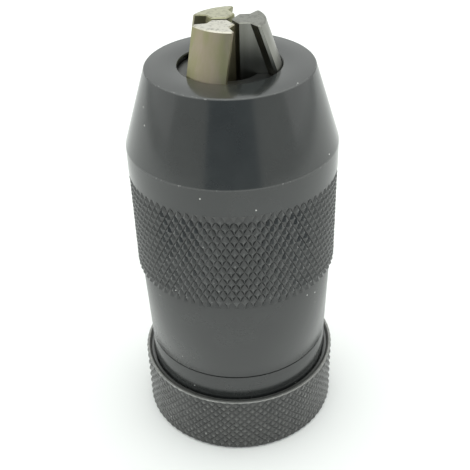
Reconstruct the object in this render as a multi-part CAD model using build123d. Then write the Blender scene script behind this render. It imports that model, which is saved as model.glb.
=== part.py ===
"""Keyless drill chuck, 1 to 13 mm, with a B16 taper socket, standing on its rear ring.

The hood, sleeve, collar and jaw guide turn together on a ball thrust bearing round the
fixed body.  They carry the three jaws and the left-hand spindle round with them, and the
spindle screws in and out of the body, so the jaws slide along the hood's cone.
Origin: centre of the rear face, +Z along the axis towards the jaws, millimetres.
"""
from build123d import *
import os
from math import asin, cos, degrees, pi, radians, sin, sqrt, tan

# ---- driving sizes: outside ------------------------------------------------------
hood_radius = 25.0            # over the crests of the hood's knurl
hood_height = 50.6            # lower edge to nose face
hood_cone_height = 18.4       # the outer cone below the nose
nose_radius = 19.3
nose_edge = 0.35              # rounding of the nose's outer edge
sleeve_radius = 23.25         # at the joint line; the sleeve widens a little towards the hood
sleeve_top_radius = 24.1
sleeve_exposed = 23.4         # plain band between the collar's joint line and the hood
collar_exposed = 6.8          # plain band between the rear ring and that joint line
ring_radius = 25.5            # over the crests of the rear ring's knurl
ring_height = 16.8
ring_cup_depth = 2.6          # pocket in the ring's front that the collar dips into
ring_rim = 0.7                # flat top of the ring's rim
ring_dish = 0.5               # depth of the bevel inside the rim
ring_ledge = 0.6              # narrow ledge under that bevel
joint_line = 0.12             # visible seam between the collar and the sleeve

# ---- driving sizes: jaws and their motion ------------------------------------------
grip_now = 0.75               # radius left between the jaw tips as it stands
grip_open = 6.5               # 13 mm capacity
grip_closed = 0.2
cone_angle = 18.5             # half-angle of the hood's inner cone
jaw_reach = 10.1              # jaw tips above the nose face
jaw_outer = 8.15              # radius of the jaws' backs at their tips
jaw_count = 3
jaw_back_radius = 10.4        # roundness of a jaw's back
head_half = 4.9               # half-width of a jaw's back
rib_half = 2.9                # half-width of a jaw's gripping rib
rib_length = 2.3              # straight side of the rib behind the V
shoulder_length = 1.6         # sloping side from the rib out to the back
grip_length = 20.0            # length of the rib that stands parallel to the axis
tip_flat = 0.2                # half-width of the land on the V's edge
tip_chamfer = 0.25
spindle_lead = 2.5            # left-hand thread

# ---- driving sizes: spindle ---------------------------------------------------------
head_radius = 15.5
jaw_height = 27.4             # a jaw's body, from its tip down to the top of the head
slot_lip = 3.0                # metal over the T of each slot
slot_depth = 3.0              # height of the T
head_floor = 2.0              # disc under the slots
slot_neck_half = 2.1
slot_tee_half = 4.0
slot_start = 3.7              # radius where a jaw's foot begins, as it stands
stem_thread_radius = 8.6
stem_root_radius = 7.35
stem_base_half = 0.68         # half-width of the screw's thread ridge at its root
stem_crest_half = 0.28
centre_hole = 2.5             # shallow recess where the three slots meet
centre_depth = 1.0
head_edge = 0.5

# ---- driving sizes: body and bearing ------------------------------------------------
hub_radius = 15.5
taper_mouth = 15.733          # B16 gauge diameter at the mouth
taper_ratio = 20.02           # 1 in 20.02 on the diameter
taper_depth = 24.5
taper_edge = 0.6
web_thickness = 3.0           # metal between the taper and the spindle's hole
body_radius = 20.9            # bearing lands inside the sleeve
land_length = 4.0
land_relief = 0.5
nut_base_half = 0.7           # half-width of the nut's thread ridge at its root
nut_crest_half = 0.3
nut_countersink = 1.0
ball_radius = 2.0
ball_count = 18
cage_thickness = 1.6
race_thickness = 2.6
race_depth = 0.68             # how deep a ball sits in each race
collar_floor = 3.4            # collar's inner flange under the bearing
collar_neck_height = 5.7      # threaded neck inside the sleeve
collar_wall = 1.15

# ---- driving sizes: guide and sleeve ------------------------------------------------
bore_radius = 21.3            # hood and sleeve bore round the spindle's head
hood_thread_radius = 22.6     # screw joint between hood and sleeve
hood_bore_length = 4.1        # straight bore between that screw joint and the cone
guide_flange = 2.5            # rim of the guide, clamped between hood and sleeve
guide_bore = 6.75             # clears a 13 mm shank
guide_step = 0.8              # guide's shoulder above the closed spindle
guide_nose_gap = 1.5          # guide's front edge below the nose face
nose_hole_chamfer = 0.4

# ---- clearances ----------------------------------------------------------------------
run = 0.08                    # turning fits
slide = 0.12                  # sliding fits
thread_gap = 0.15             # spindle thread, on the radius
clear = 0.3                   # parts that pass without touching
fit = 0.05                    # screwed joints between pieces that turn together
edge = 0.3                    # broken edges
end_gap = 0.5                 # free space left at the end of a travel
collar_gap = 0.7              # collar's end above the floor of the ring's cup
jaw_back_gap = 0.4            # opened jaws inside the bore
bite = 0.2                    # how deep a thread ridge is rooted in its cylinder
past = 1.0                    # how far a cutting tool runs past a face

# ---- worked out ------------------------------------------------------------------------
slope = tan(radians(cone_angle))
open_travel = (grip_open - grip_now) / slope
close_travel = (grip_now - grip_closed) / slope
collar_top = ring_height + collar_exposed
hood_low = collar_top + sleeve_exposed
nose_z = hood_low + hood_height
jaw_top = nose_z + jaw_reach
hole_radius = jaw_outer + jaw_reach * slope + run
cone_low = nose_z - (bore_radius - hole_radius) / slope
thread_top = cone_low - hood_bore_length
guide_low = thread_top - guide_flange
jaw_low = jaw_top - jaw_height
head_top = jaw_low - clear
head_low = head_top - slot_lip - slot_depth - head_floor
jaw_swing = bore_radius - jaw_back_gap
rib_corner = grip_now + (rib_half - tip_flat) / tan(radians(60))
rib_shoulder = rib_corner + rib_length
jaw_lip = rib_shoulder + shoulder_length
jaw_back_edge = jaw_outer - jaw_back_radius + sqrt(jaw_back_radius ** 2 - head_half ** 2)
cup_floor = ring_height - ring_cup_depth
collar_low = cup_floor + collar_gap
race_low = collar_low + collar_floor
race_outer = sleeve_radius - 2 * collar_wall
ball_circle = (hub_radius + race_outer) / 2
ball_z = race_low + race_thickness - race_depth + ball_radius + run
flange_z = 2 * ball_z - race_low
neck_top = collar_top + collar_neck_height
land_low = neck_top + end_gap
body_top = head_low - open_travel - end_gap
thread_floor = taper_depth + web_thickness
stem_low = thread_floor + end_gap + open_travel
nut_radius = stem_thread_radius + thread_gap


def ring_of(points):
    """A turned piece: the outline, as (radius, height) corners, spun about the axis."""
    outline = Polyline(*[(radius, 0, height) for radius, height in points], close=True)
    return revolve(make_face(outline), Axis.Z)


def rod(radius, low, high, at=(0, 0)):
    """A plain cylinder along the axis, between two heights."""
    middle = Pos(at[0], at[1], (low + high) / 2)
    return middle * Cylinder(radius, high - low)


def slab(start, end, half_width, low, high):
    """A straight bar along +X between two heights."""
    place = Pos((start + end) / 2, 0, (low + high) / 2)
    return place * Box(end - start, 2 * half_width, high - low)


def turned(piece, number):
    """The same piece at one of the jaws' stations round the axis."""
    return Rot(0, 0, 360 * number / jaw_count) * piece


def thread_ridge(base_radius, crest_radius, base_half, crest_half, phase, low, high):
    """One left-hand helical ridge, longer than needed, trimmed between two heights."""
    start = low - spindle_lead - low % spindle_lead + phase
    height = high - low + 3 * spindle_lead
    path = Pos(0, 0, start) * Helix(spindle_lead, height, base_radius, lefthand=True)
    corners = [
        (base_radius, 0, start - base_half),
        (crest_radius, 0, start - crest_half),
        (crest_radius, 0, start + crest_half),
        (base_radius, 0, start + base_half),
    ]
    ridge = sweep(make_face(Polyline(*corners, close=True)), path=path, is_frenet=True)
    return ridge & rod(max(base_radius, crest_radius) + past, low, high)


def taper_socket():
    """The B16 female taper, with a broken edge at its mouth."""
    mouth = taper_mouth / 2
    bottom = mouth - taper_depth / taper_ratio / 2
    return ring_of([
        (0, -past), (mouth + taper_edge + past, -past), (mouth + taper_edge, 0),
        (mouth, taper_edge), (bottom, taper_depth), (0, taper_depth),
    ])


def make_body():
    """Fixed steel body: hub with the taper, thrust flange, lands, and the spindle's nut."""
    relief = body_radius - land_relief
    step_radius = race_outer - clear
    shell = ring_of([
        (0, 0), (hub_radius - edge, 0), (hub_radius, edge), (hub_radius, flange_z),
        (step_radius, flange_z), (step_radius, land_low), (body_radius, land_low),
        (body_radius, land_low + land_length), (relief, land_low + land_length + land_relief),
        (relief, body_top - land_length - land_relief), (body_radius, body_top - land_length),
        (body_radius, body_top - edge), (body_radius - edge, body_top), (0, body_top),
    ])
    ridge_top = body_top - nut_countersink
    countersink = ring_of([
        (0, ridge_top), (nut_radius, ridge_top), (nut_radius + nut_countersink, body_top),
        (nut_radius + nut_countersink, body_top + past), (0, body_top + past),
    ])
    shell = shell - taper_socket() - rod(nut_radius, thread_floor, body_top) - countersink
    crest = stem_root_radius + thread_gap
    half_lead = spindle_lead / 2
    return shell + thread_ridge(nut_radius + bite, crest, nut_base_half, nut_crest_half,
                                half_lead, thread_floor, ridge_top)


def make_rear_ring():
    """Knurled ring pressed on the hub; its dished front surrounds the collar's end."""
    rim_inner = ring_radius - ring_rim
    ledge_outer = sleeve_radius + clear + ring_ledge
    ledge_z = ring_height - ring_dish
    cup_radius = sleeve_radius + clear
    return ring_of([
        (hub_radius, edge), (hub_radius + edge, 0), (ring_radius - edge * 2, 0),
        (ring_radius, edge * 2), (ring_radius, ring_height - edge),
        (ring_radius - edge, ring_height), (rim_inner, ring_height),
        (ledge_outer, ledge_z), (cup_radius, ledge_z), (cup_radius, cup_floor),
        (hub_radius, cup_floor),
    ])


def ball_track():
    """The groove that the balls run in."""
    return Pos(0, 0, ball_z) * Torus(ball_circle, ball_radius + run)


def make_fixed_race():
    """Hardened washer against the body's flange."""
    low = flange_z - race_thickness
    inner = hub_radius + fit
    outer = race_outer - clear
    washer = ring_of([(inner, low), (outer, low), (outer, flange_z), (inner, flange_z)])
    return washer - ball_track()


def make_turning_race():
    """Hardened washer in the collar."""
    high = race_low + race_thickness
    inner = hub_radius + clear
    washer = ring_of([
        (inner, race_low), (race_outer - fit, race_low),
        (race_outer - fit, high), (inner, high),
    ])
    return washer - ball_track()


def ball_place(number):
    angle = 2 * pi * number / ball_count
    return Pos(ball_circle * cos(angle), ball_circle * sin(angle), ball_z)


def make_cage():
    """Flat brass cage with a hole for each ball."""
    inner = hub_radius + clear
    outer = race_outer - clear
    low = ball_z - cage_thickness / 2
    high = ball_z + cage_thickness / 2
    cage = ring_of([(inner, low), (outer, low), (outer, high), (inner, high)])
    drill = Cylinder(ball_radius + run, 2 * cage_thickness)
    return cage - [ball_place(number) * drill for number in range(ball_count)]


def make_collar():
    """Screwed into the sleeve from behind; its inner flange holds the bearing."""
    flange_bore = hub_radius + clear
    neck = race_outer + collar_wall - fit
    return ring_of([
        (flange_bore, collar_low), (sleeve_radius - edge, collar_low),
        (sleeve_radius, collar_low + edge), (sleeve_radius, collar_top - joint_line),
        (neck, collar_top - joint_line), (neck, neck_top), (race_outer, neck_top),
        (race_outer, race_low), (flange_bore, race_low),
    ])


def make_sleeve():
    """Plain sleeve that turns on the body's lands and screws into the hood."""
    neck_bore = race_outer + collar_wall
    land_bore = body_radius + run
    thread = hood_thread_radius - fit
    bore_step = body_top + clear
    return ring_of([
        (neck_bore, collar_top), (sleeve_radius, collar_top), (sleeve_top_radius, hood_low),
        (thread, hood_low), (thread, guide_low), (bore_radius, guide_low),
        (bore_radius, bore_step), (land_bore, bore_step), (land_bore, neck_top),
        (neck_bore, neck_top),
    ])


def make_hood():
    """The hood, with the cone that closes the jaws inside it."""
    cone_top = nose_z - hood_cone_height
    return ring_of([
        (hood_thread_radius, hood_low), (hood_radius - edge, hood_low),
        (hood_radius, hood_low + edge), (hood_radius, cone_top),
        (nose_radius + nose_edge * slope, nose_z - nose_edge), (nose_radius - nose_edge, nose_z),
        (hole_radius + nose_hole_chamfer, nose_z),
        (hole_radius + nose_hole_chamfer * slope, nose_z - nose_hole_chamfer),
        (bore_radius, cone_low), (bore_radius, thread_top), (hood_thread_radius, thread_top),
    ])


def jaw_outline(grow=0.0, back=0.0):
    """A jaw's level section at its tip; grow widens it evenly, back lengthens it outward."""
    half = [
        (grip_now, tip_flat), (rib_corner, rib_half), (rib_shoulder, rib_half),
        (jaw_lip, head_half), (jaw_back_edge + back, head_half),
    ]
    mirrored = [(along, -across) for along, across in half]
    sides = Polyline(*reversed(half), *mirrored)
    if back:
        closing = Line(mirrored[-1], half[-1])
    else:
        closing = ThreePointArc(mirrored[-1], (jaw_outer, 0), half[-1])
    face = make_face(sides + closing)
    return offset(face, grow, kind=Kind.INTERSECTION) if grow else face


def jaw_prism(section, low, high):
    """A level section swept along the cone's slope, trimmed between two heights."""
    below = jaw_top - low + past
    above = high - jaw_top + past
    length = (below + above) / cos(radians(cone_angle))
    start = Pos(below * slope, 0, jaw_top - below) * section
    direction = (-sin(radians(cone_angle)), 0, cos(radians(cone_angle)))
    return extrude(start, amount=length, dir=direction) & rod(2 * hood_radius, low, high)


def make_grip():
    """The part of a jaw's V rib that stands parallel to the axis and does the gripping."""
    half = [(grip_now, tip_flat), (rib_corner, rib_half), (hood_radius, rib_half)]
    mirrored = [(along, -across) for along, across in half]
    section = make_face(Polyline(*reversed(half), *mirrored, close=True))
    grip = extrude(Pos(0, 0, jaw_top - grip_length) * section, grip_length)
    inside = [(-hood_radius, rib_half), (rib_shoulder, rib_half)]
    inside += [(along, -across) for along, across in reversed(inside)]
    return grip & jaw_prism(make_face(Polyline(*inside, close=True)), jaw_low, jaw_top)


def make_jaw():
    """Hardened jaw: V rib, grooved sides, round back, and a T foot in the spindle's head."""
    blank = jaw_prism(jaw_outline(), jaw_low, jaw_top) + make_grip()
    neck_low = head_top - slot_lip - slide
    foot_low = head_top - slot_lip - slot_depth + slide
    neck = slab(slot_start, bore_radius, slot_neck_half - slide, neck_low, jaw_low)
    foot = slab(slot_start, bore_radius, slot_tee_half - slide, foot_low, neck_low)
    swing = rod(jaw_swing, foot_low - past, jaw_top + past, at=(grip_now - grip_open, 0))
    jaw = (blank + neck + foot) & swing
    top_edges = jaw.faces().sort_by(Axis.Z)[-1].edges()
    return chamfer(top_edges, min(tip_chamfer, (jaw_back_edge - jaw_lip) / 2))


def make_guide():
    """Three-legged crown between hood and sleeve that keeps the jaws 120 degrees apart."""
    front = nose_z - guide_nose_gap
    front_radius = hole_radius + guide_nose_gap * slope - fit
    inner_step = head_top + close_travel + guide_step
    leg_inner = head_radius + clear
    shell = ring_of([
        (leg_inner, guide_low), (hood_thread_radius - fit, guide_low),
        (hood_thread_radius - fit, thread_top - fit), (bore_radius - fit, thread_top - fit),
        (bore_radius - fit, cone_low), (front_radius, front), (guide_bore, front),
        (guide_bore, inner_step), (leg_inner, inner_step),
    ])
    channel = jaw_prism(jaw_outline(slide, back=jaw_back_radius / 2), inner_step - past, front + past)
    rib_depth = rib_corner + (jaw_top - inner_step) * slope
    channel += slab(0, rib_depth, rib_half + slide, inner_step - past, front + past)
    slot = slab(0, hood_radius, head_half + slide, guide_low - past, inner_step)
    slot = slot & rod(bore_radius, guide_low - past, inner_step)
    return shell - [turned(channel + slot, number) for number in range(jaw_count)]


def make_spindle():
    """Left-hand screw with a slotted head that pushes and pulls the jaws' feet."""
    neck_low = head_top - slot_lip
    tee_low = neck_low - slot_depth
    head = ring_of([
        (0, head_low), (head_radius - head_edge, head_low),
        (head_radius, head_low + head_edge), (head_radius, head_top - head_edge),
        (head_radius - head_edge, head_top), (0, head_top),
    ])
    neck_slot = slab(0, head_radius + past, slot_neck_half, neck_low, head_top + past)
    tee_slot = slab(0, head_radius + past, slot_tee_half, tee_low, neck_low)
    slots = [turned(neck_slot + tee_slot, number) for number in range(jaw_count)]
    centre = rod(centre_hole, tee_low - centre_depth, head_top)
    stem = ring_of([
        (0, stem_low), (stem_root_radius - edge, stem_low),
        (stem_root_radius, stem_low + edge), (stem_root_radius, head_low), (0, head_low),
    ])
    ridge = thread_ridge(stem_root_radius - bite, stem_thread_radius, stem_base_half,
                         stem_crest_half, 0, stem_low + edge, head_low - spindle_lead)
    return head - slots - centre + stem + ridge


def make_parts():
    parts = {
        "chuck_body": make_body(),
        "rear_ring": make_rear_ring(),
        "fixed_race": make_fixed_race(),
        "turning_race": make_turning_race(),
        "ball_cage": make_cage(),
        "retainer_collar": make_collar(),
        "sleeve": make_sleeve(),
        "hood": make_hood(),
        "jaw_guide": make_guide(),
        "spindle": make_spindle(),
    }
    jaw = make_jaw()
    for number in range(jaw_count):
        parts[f"jaw_{number + 1}"] = turned(jaw, number)
    for number in range(ball_count):
        parts[f"ball_{number + 1:02d}"] = ball_place(number) * Sphere(ball_radius)
    return parts


os.makedirs("parts", exist_ok=True)
for node, shape in make_parts().items():
    export_step(shape, f"parts/{node}.step")
turns = open_travel / spindle_lead
print(f"open {open_travel:.3f} mm, {turns * 360:.1f} deg; close {close_travel:.3f} mm, "
      f"{close_travel / spindle_lead * 360:.1f} deg")
print(f"nose {nose_z:.2f}, jaw top {jaw_top:.2f}, cone low {cone_low:.2f}, body top {body_top:.2f}")
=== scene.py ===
"""Keyless drill chuck standing on its rear ring: the looks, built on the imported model."""
import random
from math import pi, radians, sqrt, tan

import bmesh
import bpy
from mathutils import Matrix, Vector


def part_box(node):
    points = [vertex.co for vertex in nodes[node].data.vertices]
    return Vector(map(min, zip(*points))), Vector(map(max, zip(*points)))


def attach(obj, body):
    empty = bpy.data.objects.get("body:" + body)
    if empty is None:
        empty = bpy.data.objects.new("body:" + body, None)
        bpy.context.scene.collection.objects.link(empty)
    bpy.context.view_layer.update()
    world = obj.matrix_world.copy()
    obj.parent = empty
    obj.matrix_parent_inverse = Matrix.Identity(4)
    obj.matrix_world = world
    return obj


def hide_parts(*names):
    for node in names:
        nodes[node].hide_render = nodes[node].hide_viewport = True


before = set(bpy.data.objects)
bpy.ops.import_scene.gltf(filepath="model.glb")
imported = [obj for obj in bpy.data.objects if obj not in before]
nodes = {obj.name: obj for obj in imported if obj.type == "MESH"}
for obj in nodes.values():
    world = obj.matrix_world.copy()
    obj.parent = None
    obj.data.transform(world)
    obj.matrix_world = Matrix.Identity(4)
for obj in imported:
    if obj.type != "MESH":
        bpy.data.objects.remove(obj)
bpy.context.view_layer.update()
mm = 0.001


# ---- The view: from in front of the chuck and above it, about 20 cm away, with the head
# bent down to see its nose, its side and the table round it.
camera_place = Vector((2.14, -171.3, 168.2)) * mm
camera_turn = -0.005
camera_dip = 0.592
camera_roll = -0.029
camera_lens = 62.35
view_shift = (-0.0115, -0.0145)

eye = bpy.data.cameras.new("eye")
eye.lens = camera_lens
eye.sensor_width = 36.0
eye.shift_x, eye.shift_y = view_shift
eye.clip_start = 0.01
camera = bpy.data.objects.new("eye", eye)
aim = Matrix.Rotation(-camera_turn, 4, "Z") @ Matrix.Rotation(pi / 2 - camera_dip, 4, "X")
camera.matrix_world = Matrix.Translation(camera_place) @ aim @ Matrix.Rotation(camera_roll, 4, "Z")
bpy.context.scene.collection.objects.link(camera)
bpy.context.scene.camera = camera
bpy.context.scene.view_settings.view_transform = "Standard"


# ---- The table: a large sheet of white card that the chuck stands on, slightly warm and
# clouded by the faintest tooth.
def new_material(name):
    material = bpy.data.materials.new(name)
    material.use_nodes = True
    tree = material.node_tree
    return material, tree, tree.nodes["Principled BSDF"]


def link(tree, source, target):
    tree.links.new(source, target)


def node(tree, kind, **inputs):
    """A node of that kind with some of its plain inputs set by name."""
    made = tree.nodes.new("ShaderNode" + kind)
    for name, value in inputs.items():
        made.inputs[name.replace("_", " ")].default_value = value
    return made


def mix_colours(tree, share, first, second):
    """A blend by share from the first colour to the second, each a tuple or a socket."""
    made = tree.nodes.new("ShaderNodeMix")
    made.data_type = "RGBA"
    link(tree, share, made.inputs["Factor"])
    for name, colour in (("A", first), ("B", second)):
        if isinstance(colour, tuple):
            made.inputs[name].default_value = (*colour, 1)
        else:
            link(tree, colour, made.inputs[name])
    return made.outputs["Result"]


card_half = 1.2
card_cells = 8
card_dull = (0.86, 0.865, 0.85)
card_clean = (0.9, 0.9, 0.895)
card_bm = bmesh.new()
bmesh.ops.create_grid(card_bm, x_segments=card_cells, y_segments=card_cells, size=card_half)
card_mesh = bpy.data.meshes.new("card")
card_bm.to_mesh(card_mesh)
card_bm.free()
card = bpy.data.objects.new("card", card_mesh)
bpy.context.scene.collection.objects.link(card)
card_paint, card_tree, card_shader = new_material("white_card")
card_tooth = node(card_tree, "TexNoise", Scale=6.0)
card_colour = mix_colours(card_tree, card_tooth.outputs["Fac"], card_dull, card_clean)
link(card_tree, card_colour, card_shader.inputs["Base Color"])
card_shader.inputs["Roughness"].default_value = 0.7
card.data.materials.append(card_paint)


# ---- The light: a bright white room, brightest overhead, with soft boxes left, right and
# behind, and a dark patch where the viewer stands in front of the chuck.
sky_low = 0.8
sky_overhead = 2.15
sky_bend = 0.5
front_share, back_share = 0.92, 1.02
viewer_half_width = (0.49, 0.57)
viewer_height = (0.55, 0.8)
viewer_shade = 0.4
room_white = (0.965, 1.0, 0.975)
viewer_blue = (0.84, 0.97, 1.08)


def soft_box(name, place, size, power, look_at=(0, 0, 0.05)):
    """A rectangular lamp that faces the middle of the chuck."""
    lamp = bpy.data.lights.new(name, "AREA")
    lamp.shape = "RECTANGLE"
    lamp.size, lamp.size_y = size
    lamp.energy = power
    box = bpy.data.objects.new(name, lamp)
    box.location = place
    box.rotation_euler = (Vector(look_at) - Vector(place)).to_track_quat("-Z", "Y").to_euler()
    bpy.context.scene.collection.objects.link(box)


soft_box("left_box", (-0.75, 0.1, 0.5), size=(0.9, 0.9), power=0.9)
soft_box("right_box", (0.75, 0.1, 0.5), size=(0.9, 0.9), power=1.05)
soft_box("back_box", (0.0, 0.75, 0.62), size=(1.3, 0.8), power=0.8)

room = bpy.data.worlds.new("room")
room.use_nodes = True
room_tree = room.node_tree
room_air = room_tree.nodes["Background"]
room_place = room_tree.nodes.new("ShaderNodeTexCoord")
room_axes = room_tree.nodes.new("ShaderNodeSeparateXYZ")
link(room_tree, room_place.outputs["Generated"], room_axes.inputs[0])


def math_node(tree, operation, first, second=0.0, clamp=False):
    """Arithmetic on two values; a number is set on the node, a socket is linked."""
    made = tree.nodes.new("ShaderNodeMath")
    made.operation = operation
    made.use_clamp = clamp
    for place, value in enumerate((first, second)):
        if isinstance(value, (int, float)):
            made.inputs[place].default_value = value
        else:
            link(tree, value, made.inputs[place])
    return made.outputs[0]


def viewer_edge(value, inner, outer):
    """Fades from one inside the viewer's outline to nothing outside it."""
    fade = node(room_tree, "MapRange", From_Min=outer, From_Max=inner)
    fade.interpolation_type = "SMOOTHSTEP"
    link(room_tree, value, fade.inputs["Value"])
    return fade.outputs["Result"]


ahead = math_node(room_tree, "MULTIPLY", room_axes.outputs["Y"], -1.0)
sideways = math_node(room_tree, "ABSOLUTE", room_axes.outputs["X"])
across = math_node(room_tree, "DIVIDE", sideways, math_node(room_tree, "MAXIMUM", ahead, 0.001))
viewer = math_node(room_tree, "MULTIPLY", viewer_edge(across, *viewer_half_width),
                   viewer_edge(room_axes.outputs["Z"], *viewer_height))
sky = node(room_tree, "MapRange", From_Min=sky_bend, From_Max=1.0, To_Min=sky_low,
           To_Max=sky_overhead)
link(room_tree, room_axes.outputs["Z"], sky.inputs["Value"])
window_side = node(room_tree, "MapRange", From_Min=-1.0, From_Max=1.0, To_Min=front_share,
                   To_Max=back_share)
link(room_tree, room_axes.outputs["Y"], window_side.inputs["Value"])
room_lit = math_node(room_tree, "MULTIPLY", sky.outputs["Result"], window_side.outputs["Result"])
room_glow = math_node(room_tree, "SUBTRACT", room_lit,
                      math_node(room_tree, "MULTIPLY", viewer, viewer_shade))
link(room_tree, room_glow, room_air.inputs["Strength"])
room_tint = mix_colours(room_tree, viewer, room_white, viewer_blue)
link(room_tree, room_tint, room_air.inputs["Color"])
bpy.context.scene.world = room


# ---- Hood: turned from steel bar, blackened, and screwed onto the sleeve.  A flat nose
# round the jaws, a smooth cone, a smooth band, then a 30 degree diamond knurl down to a
# broken lower edge.
hood_low, hood_high = (corner.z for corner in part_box("hood"))
hood_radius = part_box("hood")[1].x
nose_radius = 19.3 * mm
nose_hole = 12.04 * mm
hole_edge = 0.4 * mm
nose_rounding = 0.35 * mm
cone_rounding = 0.25 * mm
hole_rounding = 0.12 * mm
cone_height = 18.4 * mm
smooth_height = 6.6 * mm
cone_slope = tan(radians(18.5))
hood_bore = 21.3 * mm
hood_thread = 22.6 * mm
hood_thread_top = 64.54 * mm
hood_teeth = 78
hood_tooth_rows = 15
hood_tooth_depth = 0.5 * mm
hood_tooth_land = 0.3 * mm
hood_edge = 0.2 * mm
run_out = 0.12 * mm
hair = 0.01 * mm
nose_rub = 0.06
edge_rub = 0.7
# Marking value for painted shade: below 0 darkens the oxide colour in knurl grooves, seams and
# under edges.
painted_shade_mark = -1.0
crease = radians(28)
hood_oxide = (0.022, 0.0245, 0.024)
hood_bare = (0.24, 0.24, 0.235)
dust_grey = (0.5, 0.5, 0.47)
dust_core = 0.085
rub_dulling = 0.22
oxide_index = 1.67


def lathe(outline, steps):
    """A closed outline of (radius, height) corners, spun full turn round the axis.

    Its wear attribute is 0 on plain oxide, below 0 where a painted shade darkens the colour
    (knurl grooves, seams, under edges), and above 0 where the steel is rubbed bare."""
    bm = bmesh.new()
    corners = [bm.verts.new((radius, 0, height)) for radius, height in outline]
    sides = [bm.edges.new((corners[i - 1], corners[i])) for i in range(len(corners))]
    bmesh.ops.spin(bm, geom=corners + sides, cent=(0, 0, 0), axis=(0, 0, 1), dvec=(0, 0, 0),
                   angle=2 * pi, steps=steps, use_merge=True, use_duplicate=False)
    bmesh.ops.remove_doubles(bm, verts=bm.verts, dist=1e-7)
    bmesh.ops.recalc_face_normals(bm, faces=bm.faces)
    bm.verts.layers.float.new("wear_and_shade")
    return bm


def around(vert):
    """The corner's distance from the axis."""
    return Vector((vert.co.x, vert.co.y)).length


def shade_smooth(bm):
    for face in bm.faces:
        face.smooth = True


def cut_knurl(bm, radius, low, high, teeth, rows, depth, land, dice):
    """Diamonds on the band between two heights: every other crossing of the band's grid is
    pressed in, half as deep in the first and last rows, with its groove darkened as painted shade;
    each grid cell is folded along its groove, and the peaks get small flats, each rubbed by
    chance."""
    wear_and_shade = bm.verts.layers.float["wear_and_shade"]
    step = (high - low) / rows
    band = [v for v in bm.verts
            if abs(around(v) - radius) < hair and low - hair < v.co.z < high + hair]
    peaks, grooves = [], {}
    for vert in band:
        row = round((vert.co.z - low) / step)
        turn = Vector((vert.co.x, vert.co.y)).angle_signed(Vector((1, 0))) % (2 * pi)
        column = round(turn * teeth / pi)
        if (row + column) % 2:
            grooves[vert] = depth / 2 if row in (0, rows) else depth
        elif 0 < row < rows:
            peaks.append(vert)
    for vert, press in grooves.items():
        # Painted shade: the pressed-in groove bottoms are marked to be darkened.
        vert[wear_and_shade] = painted_shade_mark
        pressed = (radius - press * dice.uniform(0.9, 1.08)) / around(vert)
        vert.co.x *= pressed
        vert.co.y *= pressed
    chosen = set(band)
    cells = [f for f in bm.faces if all(v in chosen for v in f.verts)]
    for cell in cells:
        low_corners = [v for v in cell.verts if v in grooves]
        bmesh.utils.face_split(cell, low_corners[0], low_corners[1])
    lifted = land * depth / sqrt(step ** 2 + depth ** 2)
    for vert in peaks:
        raised = (radius + lifted * dice.uniform(0.75, 1.0)) / around(vert)
        vert.co.x *= raised
        vert.co.y *= raised
    flats = bmesh.ops.bevel(bm, geom=peaks, offset=land, affect="VERTICES", segments=1,
                            profile=0.5, material=-1)
    for vert in flats["verts"]:
        vert[wear_and_shade] = dice.uniform(0.0, 1.0)
    shade_smooth(bm)
    for face in bm.faces:
        if any(v in grooves for v in face.verts):
            face.smooth = False
    for face in flats["faces"]:
        face.smooth = False


def round_edges(bm, rings, width, segments=3, rubbed=edge_rub):
    """Rounds the turned edges at the given (radius, height) places; rubbed is their marking: above
    0 rubbed bare, below 0 darkened as painted shade.
    """
    wear_and_shade = bm.verts.layers.float["wear_and_shade"]
    picked = []
    for edge in bm.edges:
        a, b = edge.verts
        for radius, height in rings:
            if all(max(abs(around(v) - radius), abs(v.co.z - height)) < 2 * hair for v in (a, b)):
                picked.append(edge)
    edging = bmesh.ops.bevel(bm, geom=picked, offset=width, affect="EDGES", segments=segments,
                             profile=0.5, material=-1)
    rounding = set(edging["faces"])
    for vert in edging["verts"]:
        if all(face in rounding for face in vert.link_faces):
            vert[wear_and_shade] = rubbed


def finish_piece(bm, name, body, stands_for):
    """Makes the mesh an object that rides on its body and stands for its plain model."""
    for edge in bm.edges:
        if len(edge.link_faces) == 2 and edge.calc_face_angle() > crease:
            edge.smooth = False
    mesh = bpy.data.meshes.new(name)
    bm.to_mesh(mesh)
    bm.free()
    piece = bpy.data.objects.new(name, mesh)
    bpy.context.scene.collection.objects.link(piece)
    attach(piece, body)
    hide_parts(stands_for)
    return piece


cone_top = hood_high - cone_height
knurl_high = cone_top - smooth_height
knurl_low = hood_low + hood_edge
knurl_step = (knurl_high - knurl_low) / hood_tooth_rows
bore_at_nose = nose_hole - hole_edge * (1 - cone_slope)
bore_cone_low = hood_high - hole_edge - (hood_bore - bore_at_nose) / cone_slope
hood_outline = [(hood_thread, hood_low), (hood_radius - 2 * hood_edge, hood_low)]
hood_outline += [
    (hood_radius, knurl_low + knurl_step * row) for row in range(hood_tooth_rows + 1)
]
hood_outline += [
    (hood_radius, knurl_high + run_out), (hood_radius, cone_top), (nose_radius, hood_high),
    (nose_hole, hood_high), (bore_at_nose, hood_high - hole_edge),
    (hood_bore, bore_cone_low), (hood_bore, hood_thread_top), (hood_thread, hood_thread_top),
]
dice = random.Random(16)
hood_bm = lathe(hood_outline, 2 * hood_teeth)
cut_knurl(hood_bm, hood_radius, knurl_low, knurl_high, hood_teeth, hood_tooth_rows,
          hood_tooth_depth, hood_tooth_land, dice)
round_edges(hood_bm, [(nose_radius, hood_high)], nose_rounding)
round_edges(hood_bm, [(hood_radius, cone_top)], cone_rounding)
round_edges(hood_bm, [(nose_hole, hood_high)], hole_rounding, 2)
hood_wear_and_shade = hood_bm.verts.layers.float["wear_and_shade"]
for vert in hood_bm.verts:
    if vert.co.z > hood_high - hair:
        vert[hood_wear_and_shade] = nose_rub
    # Painted shade: the lower face and its chamfer under the knurl are darkened.
    elif vert.co.z < hood_low + hair:
        vert[hood_wear_and_shade] = painted_shade_mark
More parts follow.
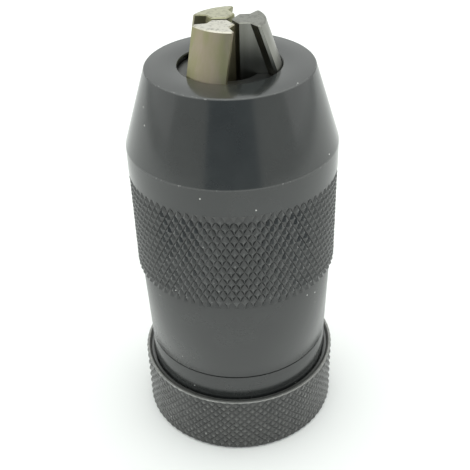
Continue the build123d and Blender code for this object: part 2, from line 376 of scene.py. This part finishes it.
hood = finish_piece(hood_bm, "hood_shell", "turning_hood", "hood")


def group_socket(group, name, direction, kind, value=None):
    """A named input or output of a node group."""
    socket = group.interface.new_socket(name, in_out=direction, socket_type="NodeSocket" + kind)
    if value is not None:
        socket.default_value = value


# The marks that a lathe tool leaves: fine rings that run round the axis, on faces,
# cones and cylinders alike, with some deeper than others.
turning = bpy.data.node_groups.new("turning_marks", "ShaderNodeTree")
group_socket(turning, "Rings per metre", "INPUT", "Float", 3000.0)
group_socket(turning, "Height", "OUTPUT", "Float")
turning_in = turning.nodes.new("NodeGroupInput")
turning_out = turning.nodes.new("NodeGroupOutput")
turning_place = turning.nodes.new("ShaderNodeTexCoord")
turning_axes = turning.nodes.new("ShaderNodeSeparateXYZ")
link(turning, turning_place.outputs["Object"], turning_axes.inputs[0])
x_squared = math_node(turning, "MULTIPLY", turning_axes.outputs["X"], turning_axes.outputs["X"])
y_squared = math_node(turning, "MULTIPLY", turning_axes.outputs["Y"], turning_axes.outputs["Y"])
off_axis = math_node(turning, "SQRT", math_node(turning, "ADD", x_squared, y_squared))
along = math_node(turning, "ADD", turning_axes.outputs["Z"], off_axis)
ring_noise = node(turning, "TexNoise", Detail=2.0, Roughness=0.6, Scale=1.0)
ring_noise.noise_dimensions = "1D"
rings_along = math_node(turning, "MULTIPLY", along, turning_in.outputs["Rings per metre"])
link(turning, rings_along, ring_noise.inputs["W"])
link(turning, ring_noise.outputs["Fac"], turning_out.inputs["Height"])

# The blackened skin: an oxide that is a little uneven, darker in patches, with rubbed crests,
# a painted shade that darkens it where the marking is below 0, and a few specks of dust lying on
# it.
oxide = bpy.data.node_groups.new("black_oxide", "ShaderNodeTree")
group_socket(oxide, "Oxide", "INPUT", "Color", (0.1, 0.1, 0.1, 1))
group_socket(oxide, "Bare", "INPUT", "Color", (0.3, 0.3, 0.3, 1))
group_socket(oxide, "Wear and shade", "INPUT", "Float", 0.0)
group_socket(oxide, "Base roughness", "INPUT", "Float", 0.4)
group_socket(oxide, "Dust", "INPUT", "Float", 0.02)
group_socket(oxide, "Color", "OUTPUT", "Color")
group_socket(oxide, "Roughness", "OUTPUT", "Float")
group_socket(oxide, "Metal", "OUTPUT", "Float")
oxide_in = oxide.nodes.new("NodeGroupInput")
oxide_out = oxide.nodes.new("NodeGroupOutput")
oxide_place = oxide.nodes.new("ShaderNodeTexCoord")
patches = node(oxide, "TexNoise", Scale=90.0, Detail=5.0, Roughness=0.62)
grain = node(oxide, "TexNoise", Scale=2600.0, Detail=2.0)
motes = node(oxide, "TexVoronoi", Scale=420.0)
for texture in (patches, grain, motes):
    link(oxide, oxide_place.outputs["Object"], texture.inputs["Vector"])
shade = node(oxide, "MapRange", From_Min=0.3, From_Max=0.7, To_Min=0.82, To_Max=1.18)
link(oxide, patches.outputs["Fac"], shade.inputs["Value"])
toned = oxide.nodes.new("ShaderNodeVectorMath")
toned.operation = "SCALE"
# Painted shade: a marking below 0 darkens the oxide colour, down to 0.45 at -1.
painted_shade_darkening = node(oxide, "MapRange", From_Min=-1.0, From_Max=0.0, To_Min=0.45, To_Max=1.0)
link(oxide, oxide_in.outputs["Wear and shade"], painted_shade_darkening.inputs["Value"])
link(oxide, oxide_in.outputs["Oxide"], toned.inputs[0])
darkened = math_node(oxide, "MULTIPLY", shade.outputs["Result"], painted_shade_darkening.outputs["Result"])
link(oxide, darkened, toned.inputs["Scale"])
nicks = node(oxide, "TexNoise", Scale=1100.0, Detail=3.0)
link(oxide, oxide_place.outputs["Object"], nicks.inputs["Vector"])
nicked = node(oxide, "MapRange", From_Min=0.62, From_Max=0.74, To_Min=0.5, To_Max=3.0)
link(oxide, nicks.outputs["Fac"], nicked.inputs["Value"])
rub_grain = math_node(oxide, "MULTIPLY", grain.outputs["Fac"], nicked.outputs["Result"])
rub_amount = math_node(oxide, "MULTIPLY", oxide_in.outputs["Wear and shade"], rub_grain, clamp=True)
rubbed = mix_colours(oxide, rub_amount, toned.outputs[0], oxide_in.outputs["Bare"])
mote_core = math_node(oxide, "LESS_THAN", motes.outputs["Distance"], dust_core)
mote_pick = oxide.nodes.new("ShaderNodeSeparateColor")
link(oxide, motes.outputs["Color"], mote_pick.inputs[0])
mote_rare = math_node(oxide, "LESS_THAN", mote_pick.outputs[0], oxide_in.outputs["Dust"])
mote_mask = math_node(oxide, "MULTIPLY", mote_core, mote_rare)
dusty = mix_colours(oxide, mote_mask, rubbed, dust_grey)
link(oxide, dusty, oxide_out.inputs["Color"])
sheen_range = node(oxide, "MapRange", From_Min=0.3, From_Max=0.7, To_Min=-0.03, To_Max=0.04)
link(oxide, patches.outputs["Fac"], sheen_range.inputs["Value"])
rub_haze = math_node(oxide, "MULTIPLY", rub_amount, rub_dulling)
evened = math_node(oxide, "ADD", oxide_in.outputs["Base roughness"], sheen_range.outputs["Result"])
link(oxide, math_node(oxide, "ADD", evened, rub_haze), oxide_out.inputs["Roughness"])
clean = math_node(oxide, "SUBTRACT", 1.0, mote_mask)
link(oxide, math_node(oxide, "MULTIPLY", clean, rub_amount), oxide_out.inputs["Metal"])


def blackened(name, tone, bare, roughness, dust, mark_depth, marks_per_metre=3000.0):
    """Blackened steel; tone and bare are the oxide's and the rubbed crests' colours, and
    dust is the share of the specks that show."""
    material, tree, shader = new_material(name)
    skin = tree.nodes.new("ShaderNodeGroup")
    skin.node_tree = oxide
    skin.inputs["Oxide"].default_value = (*tone, 1)
    skin.inputs["Bare"].default_value = (*bare, 1)
    skin.inputs["Base roughness"].default_value = roughness
    skin.inputs["Dust"].default_value = dust
    # The attribute carries rubbed wear above 0 and painted shade below 0.
    worn_and_shaded = tree.nodes.new("ShaderNodeAttribute")
    worn_and_shaded.attribute_name = "wear_and_shade"
    link(tree, worn_and_shaded.outputs["Fac"], skin.inputs["Wear and shade"])
    marks = tree.nodes.new("ShaderNodeGroup")
    marks.node_tree = turning
    marks.inputs["Rings per metre"].default_value = marks_per_metre
    bump = node(tree, "Bump", Strength=1.0, Distance=mark_depth)
    link(tree, marks.outputs["Height"], bump.inputs["Height"])
    link(tree, bump.outputs["Normal"], shader.inputs["Normal"])
    link(tree, skin.outputs["Color"], shader.inputs["Base Color"])
    link(tree, skin.outputs["Roughness"], shader.inputs["Roughness"])
    link(tree, skin.outputs["Metal"], shader.inputs["Metallic"])
    shader.inputs["IOR"].default_value = oxide_index
    return material


hood_black = blackened("hood_black", hood_oxide, hood_bare, roughness=0.17, dust=0.06,
                       mark_depth=5e-7)
hood.data.materials.append(hood_black)


# ---- Sleeve: a turned steel tube screwed into the hood, a little wider at that end,
# blackened like it but satin.  It turns on the lands of the body inside it.
sleeve_low, sleeve_high = (corner.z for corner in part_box("sleeve"))
collar_low, collar_high = (corner.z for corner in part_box("retainer_collar"))
sleeve_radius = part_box("retainer_collar")[1].x
sleeve_top_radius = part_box("sleeve")[1].x
sleeve_mouth = 22.1 * mm
sleeve_thread = 22.55 * mm
sleeve_land_bore = 20.98 * mm
sleeve_land_high = 54.62 * mm
sleeve_steps = 160
seam_rounding = 0.25 * mm
shoulder_rounding = 0.4 * mm
sleeve_oxide = (0.024, 0.026, 0.0255)
sleeve_bare = (0.24, 0.24, 0.23)
sleeve_outline = [
    (sleeve_mouth, sleeve_low), (sleeve_radius, sleeve_low), (sleeve_top_radius, hood_low),
    (sleeve_thread, hood_low), (sleeve_thread, sleeve_high), (hood_bore, sleeve_high),
    (hood_bore, sleeve_land_high), (sleeve_land_bore, sleeve_land_high),
    (sleeve_land_bore, collar_high), (sleeve_mouth, collar_high),
]
sleeve_bm = lathe(sleeve_outline, sleeve_steps)
shade_smooth(sleeve_bm)
# Painted shade: the seam's rounding and the shoulder under the hood are darkened into dark lines.
round_edges(sleeve_bm, [(sleeve_radius, sleeve_low)], seam_rounding, 2, painted_shade_mark)
round_edges(sleeve_bm, [(sleeve_top_radius, hood_low)], shoulder_rounding, 2, painted_shade_mark)
sleeve = finish_piece(sleeve_bm, "sleeve_tube", "turning_hood", "sleeve")
sleeve_black = blackened("sleeve_black", sleeve_oxide, sleeve_bare, roughness=0.25, dust=0.16,
                         mark_depth=1.1e-5, marks_per_metre=1100.0)
sleeve.data.materials.append(sleeve_black)


# ---- Retainer collar: the plain blackened band under the sleeve's seam.  It screws into
# the sleeve, carries the rear race of the bearing and dips into the ring's cup.
seam_gap = 0.12 * mm
collar_floor = 3.4 * mm
collar_seam = sleeve_low - seam_gap
collar_neck = 22.05 * mm
collar_race_bore = 20.95 * mm
collar_hole = 15.8 * mm
collar_floor_high = collar_low + collar_floor
collar_seam_rounding = 0.2 * mm
collar_foot_rounding = 0.3 * mm
collar_outline = [
    (collar_hole, collar_low), (sleeve_radius, collar_low), (sleeve_radius, collar_seam),
    (collar_neck, collar_seam), (collar_neck, collar_high), (collar_race_bore, collar_high),
    (collar_race_bore, collar_floor_high), (collar_hole, collar_floor_high),
]
collar_bm = lathe(collar_outline, sleeve_steps)
shade_smooth(collar_bm)
# Painted shade: the rounded seam edge is darkened.
round_edges(collar_bm, [(sleeve_radius, collar_seam)], collar_seam_rounding, 2, painted_shade_mark)
round_edges(collar_bm, [(sleeve_radius, collar_low)], collar_foot_rounding, 2)
collar = finish_piece(collar_bm, "collar_band", "turning_hood",
                      "retainer_collar")
collar.data.materials.append(sleeve_black)


# ---- Rear ring: blackened steel, pressed on the body, to hold the chuck still by.  It
# has a finer, squarer knurl and a dished rim that is rubbed bright along its edge.
ring_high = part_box("rear_ring")[1].z
ring_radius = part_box("rear_ring")[1].x
ring_teeth = 76
ring_tooth_rows = 14
ring_tooth_depth = 0.42 * mm
ring_tooth_land = 0.26 * mm
ring_edge = 0.3 * mm
ring_break = 0.13 * mm
ring_bore = 15.5 * mm
ring_rim = 0.7 * mm
ring_dish = 0.5 * mm
dish_radius = 24.15 * mm
cup_radius = 23.55 * mm
cup_depth = 2.6 * mm
rim_rub = 2.0
ring_oxide = (0.05, 0.051, 0.048)
ring_bare = (0.42, 0.42, 0.4)
ring_knurl_low = 2 * ring_edge
ring_knurl_high = ring_high - ring_edge
ring_step = (ring_knurl_high - ring_knurl_low) / ring_tooth_rows
ring_outline = [
    (ring_bore, ring_edge), (ring_bore + ring_edge, 0.0), (ring_radius - 2 * ring_edge, 0.0)
]
ring_outline += [
    (ring_radius, ring_knurl_low + ring_step * row) for row in range(ring_tooth_rows + 1)
]
ring_outline += [
    (ring_radius - ring_break, ring_high - ring_break), (ring_radius - ring_edge, ring_high),
    (ring_radius - ring_rim, ring_high), (dish_radius, ring_high - ring_dish),
    (cup_radius, ring_high - ring_dish), (cup_radius, ring_high - cup_depth),
    (ring_bore, ring_high - cup_depth),
]
ring_bm = lathe(ring_outline, 2 * ring_teeth)
cut_knurl(ring_bm, ring_radius, ring_knurl_low, ring_knurl_high, ring_teeth, ring_tooth_rows,
          ring_tooth_depth, ring_tooth_land, dice)
ring_wear = ring_bm.verts.layers.float["wear_and_shade"]
for vert in ring_bm.verts:
    if vert.co.z > ring_high - 1.1 * ring_break and around(vert) > ring_radius - 1.1 * ring_rim:
        vert[ring_wear] = rim_rub
ring = finish_piece(ring_bm, "ring_knurled", "fixed_body", "rear_ring")
ring_black = blackened("ring_black", ring_oxide, ring_bare, roughness=0.26, dust=0.15,
                       mark_depth=8e-7)
ring.data.materials.append(ring_black)


# ---- Jaws: three hardened steel bars, ground bare along their length, that slide on the
# hood's inner cone with their feet in the spindle's slots.  Two of them carry a straw
# tint, as temper leaves.
def ground_steel(name, tone, tint, roughness):
    """Bare steel with grinding lines along Z and a patchy tint."""
    material, tree, shader = new_material(name)
    place = tree.nodes.new("ShaderNodeTexCoord")
    stretch = node(tree, "Mapping", Scale=(2400.0, 2400.0, 60.0))
    lines = node(tree, "TexNoise", Scale=1.0, Detail=3.0)
    cloud = node(tree, "TexNoise", Scale=110.0, Detail=4.0)
    cloud.name = "cloud"
    link(tree, place.outputs["Object"], stretch.inputs["Vector"])
    link(tree, stretch.outputs[0], lines.inputs["Vector"])
    link(tree, place.outputs["Object"], cloud.inputs["Vector"])
    blend = node(tree, "MapRange", From_Min=0.35, From_Max=0.65)
    link(tree, cloud.outputs["Fac"], blend.inputs["Value"])
    colour = mix_colours(tree, blend.outputs["Result"], tone, tint)
    colour.node.name = "colour"
    link(tree, colour, shader.inputs["Base Color"])
    shine = node(tree, "MapRange", To_Min=roughness - 0.08, To_Max=roughness + 0.08)
    link(tree, lines.outputs["Fac"], shine.inputs["Value"])
    link(tree, shine.outputs["Result"], shader.inputs["Roughness"])
    bump = node(tree, "Bump", Strength=1.0, Distance=2e-6)
    link(tree, lines.outputs["Fac"], bump.inputs["Height"])
    link(tree, bump.outputs["Normal"], shader.inputs["Normal"])
    shader.inputs["Metallic"].default_value = 1.0
    return material


def dress(names, material):
    """Gives the named pieces of the model that finish."""
    for name in names:
        piece = nodes[name]
        piece.data.materials.clear()
        piece.data.materials.append(material)


def jaw_steel(name, flank, tint, tip_ground_and_lit, roughness):
    """Ground jaw: flank and tint run in streaks down its sides; upward faces take the lighter tip
    colour, partly a ground finish and partly a painted highlight from above.
    """
    material = ground_steel(name, flank, tint, roughness)
    tree = material.node_tree
    shader = tree.nodes["Principled BSDF"]
    streaks = node(tree, "Mapping", Scale=(420.0, 420.0, 26.0))
    place = tree.nodes["Texture Coordinate"].outputs
    link(tree, place["Object"], streaks.inputs["Vector"])
    link(tree, streaks.outputs[0], tree.nodes["cloud"].inputs["Vector"])
    tree.nodes["cloud"].inputs["Scale"].default_value = 1.0
    facing = tree.nodes.new("ShaderNodeSeparateXYZ")
    link(tree, place["Normal"], facing.inputs[0])
    # Painted highlight, in part: faces pointing up get the lighter tip colour, as if lit from
    # above.
    upward = node(tree, "MapRange", From_Min=0.55, From_Max=0.9)
    link(tree, facing.outputs["Z"], upward.inputs["Value"])
    mottle = node(tree, "TexNoise", Scale=1500.0, Detail=3.0)
    link(tree, place["Object"], mottle.inputs["Vector"])
    pits = node(tree, "MapRange", From_Min=0.3, From_Max=0.5, To_Min=0.55, To_Max=1.0)
    link(tree, mottle.outputs["Fac"], pits.inputs["Value"])
    tip_ground_and_lit_tone = tree.nodes.new("ShaderNodeVectorMath")
    tip_ground_and_lit_tone.operation = "SCALE"
    tip_ground_and_lit_tone.inputs[0].default_value = tip_ground_and_lit
    link(tree, pits.outputs["Result"], tip_ground_and_lit_tone.inputs["Scale"])
    sides = tree.nodes["colour"].outputs["Result"]
    tipped = mix_colours(tree, upward.outputs["Result"], sides, tip_ground_and_lit_tone.outputs[0])
    link(tree, tipped, shader.inputs["Base Color"])
    return material


straw_steel = jaw_steel("straw_steel", flank=(0.31, 0.295, 0.172), tint=(0.365, 0.31, 0.24),
                        tip_ground_and_lit=(0.6, 0.58, 0.515), roughness=0.42)
grey_steel = jaw_steel("grey_steel", flank=(0.22, 0.22, 0.195), tint=(0.28, 0.28, 0.255),
                       tip_ground_and_lit=(0.24, 0.24, 0.215), roughness=0.36)
olive_steel = jaw_steel("olive_steel", flank=(0.24, 0.24, 0.13), tint=(0.28, 0.26, 0.18),
                        tip_ground_and_lit=(0.46, 0.45, 0.34), roughness=0.42)
dress(["jaw_1"], grey_steel)
dress(["jaw_2"], olive_steel)
dress(["jaw_3"], straw_steel)


# ---- Inside: the body and the spindle that screws in it are turned steel, left bare. The
# guide that keeps the jaws apart, clamped between hood and sleeve, is given a dark steel.
turned_steel = ground_steel("turned_steel", tone=(0.3, 0.3, 0.3), tint=(0.4, 0.4, 0.4),
                            roughness=0.4)
guide_steel = ground_steel("guide_steel", tone=(0.1, 0.1, 0.1), tint=(0.16, 0.16, 0.15),
                           roughness=0.45)
dress(["chuck_body", "spindle"], turned_steel)
dress(["jaw_guide"], guide_steel)


# ---- Thrust bearing: hard polished races and balls in a stamped brass cage, between the
# body's flange and the collar, so the hood turns easily under load.
bearing_steel = ground_steel("bearing_steel", tone=(0.55, 0.55, 0.55), tint=(0.65, 0.65, 0.65),
                             roughness=0.18)
cage_brass = ground_steel("cage_brass", tone=(0.5, 0.36, 0.14), tint=(0.6, 0.45, 0.2),
                          roughness=0.35)
dress(["fixed_race", "turning_race"], bearing_steel)
dress([name for name in nodes if name.startswith("ball_") and name != "ball_cage"], bearing_steel)
dress(["ball_cage"], cage_brass)
